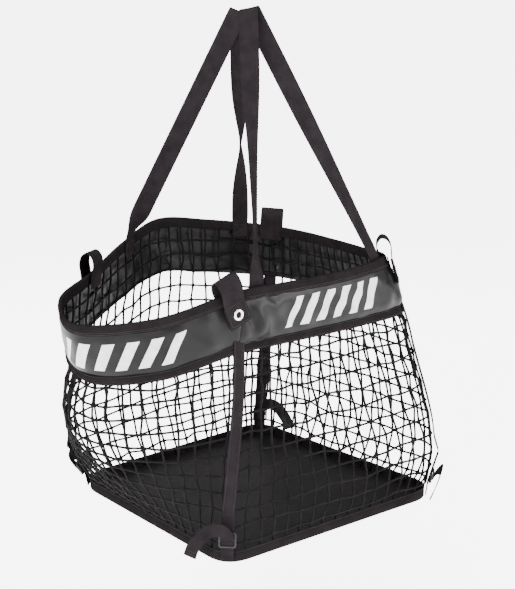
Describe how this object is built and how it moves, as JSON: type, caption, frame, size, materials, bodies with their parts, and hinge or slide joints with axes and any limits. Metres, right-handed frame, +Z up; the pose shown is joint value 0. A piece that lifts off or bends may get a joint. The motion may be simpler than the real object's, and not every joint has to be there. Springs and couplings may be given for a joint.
{
  "type": "mesh ball bag",
  "caption": "Square open-topped bag of black cord net with a coated-fabric band and base, webbing carry handles, corner hanging tabs with eyelets and corner straps with buckles.",
  "frame": {"origin": "the point under the folds of the two handles where the bag rests on its hook", "axes": "+Z up along the hanging bag; the base's sides run along X and Y, with the front handle's side facing -Y"},
  "size_m": [0.8086, 0.6343, 1.0084],
  "materials": {
    "net_cord": "knotless braided polyester cord, matte",
    "coated_fabric": "PVC-coated woven fabric, soft gloss",
    "binding_tape": "woven binding tape, matte",
    "webbing": "woven polypropylene webbing, matte",
    "nickel": "nickel plated, polished",
    "buckle_metal": "moulded, fine satin"
  },
  "bodies": {
    "bag": {"base_panel": "coated_fabric", "base_binding": "binding_tape", "net_front": "net_cord", "net_right": "net_cord", "net_rear": "net_cord", "net_left": "net_cord", "band_front": "coated_fabric", "band_right": "coated_fabric", "band_rear": "coated_fabric", "band_left": "coated_fabric", "rim_binding": "binding_tape", "band_hem": "binding_tape", "corner_strap_front_left": "webbing", "corner_strap_front_right": "webbing", "corner_strap_rear_right": "webbing", "corner_strap_rear_left": "webbing", "tab_anchor_front_left": "webbing", "tab_anchor_front_right": "webbing", "tab_anchor_rear_right": "webbing", "tab_anchor_rear_left": "webbing", "front_handle_end_left": "webbing", "front_handle_end_right": "webbing", "rear_handle_end_left": "webbing", "rear_handle_end_right": "webbing"},
    "front_handle": {"front_handle": "webbing"},
    "rear_handle": {"rear_handle": "webbing"},
    "tab_front_left": {"hang_tab_front_left": "webbing", "eyelet_front_left": "nickel", "eyelet_washer_front_left": "nickel"},
    "tab_front_right": {"hang_tab_front_right": "webbing", "eyelet_front_right": "nickel", "eyelet_washer_front_right": "nickel"},
    "tab_rear_right": {"hang_tab_rear_right": "webbing", "eyelet_rear_right": "nickel", "eyelet_washer_rear_right": "nickel"},
    "tab_rear_left": {"hang_tab_rear_left": "webbing", "eyelet_rear_left": "nickel", "eyelet_washer_rear_left": "nickel"},
    "buckle_front_left": {"buckle_front_left": "buckle_metal", "strap_tail_front_left": "webbing"},
    "buckle_front_right": {"buckle_front_right": "buckle_metal", "strap_tail_front_right": "webbing"},
    "buckle_rear_right": {"buckle_rear_right": "buckle_metal", "strap_tail_rear_right": "webbing"},
    "buckle_rear_left": {"buckle_rear_left": "buckle_metal", "strap_tail_rear_left": "webbing"}
  },
  "joints": [
    {"name": "front_handle_swing", "type": "hinge", "parent": "bag", "child": "front_handle", "pos_m": [-0.12789, -0.20381, -0.4908], "axis": [0.996, 0.0898, -0.0024], "range_deg": [0, 150]},
    {"name": "rear_handle_swing", "type": "hinge", "parent": "bag", "child": "rear_handle", "pos_m": [-0.14292, 0.22252, -0.46067], "axis": [-0.9884, -0.1471, 0.0364], "range_deg": [0, 150]},
    {"name": "tab_front_left_lift", "type": "hinge", "parent": "bag", "child": "tab_front_left", "pos_m": [-0.20594, -0.18971, -0.50412], "axis": [-0.933, 0.0333, -0.3584], "range_deg": [0, 60]},
    {"name": "tab_front_right_lift", "type": "hinge", "parent": "bag", "child": "tab_front_right", "pos_m": [0.25283, -0.13612, -0.50239], "axis": [-0.6891, -0.7247, 0.0085], "range_deg": [0, 60]},
    {"name": "tab_rear_right_lift", "type": "hinge", "parent": "bag", "child": "tab_rear_right", "pos_m": [0.26892, 0.22861, -0.49464], "axis": [0.7207, -0.6899, -0.0685], "range_deg": [0, 60]},
    {"name": "tab_rear_left_lift", "type": "hinge", "parent": "bag", "child": "tab_rear_left", "pos_m": [-0.28601, 0.11369, -0.50073], "axis": [0.8438, 0.5362, -0.0219], "range_deg": [0, 60]},
    {"name": "buckle_front_left_slide", "type": "slide", "parent": "bag", "child": "buckle_front_left", "axis": [0.0495, 0.035, 0.9982], "range_m": [0, 0.03]},
    {"name": "buckle_front_right_slide", "type": "slide", "parent": "bag", "child": "buckle_front_right", "axis": [0.2711, -0.147, 0.9513], "range_m": [0, 0.03]},
    {"name": "buckle_rear_right_slide", "type": "slide", "parent": "bag", "child": "buckle_rear_right", "axis": [0.132, 0.0965, 0.9865], "range_m": [0, 0.03]},
    {"name": "buckle_rear_left_slide", "type": "slide", "parent": "bag", "child": "buckle_rear_left", "axis": [-0.4089, 0.2423, 0.8798], "range_m": [0, 0.03]}
  ]
}
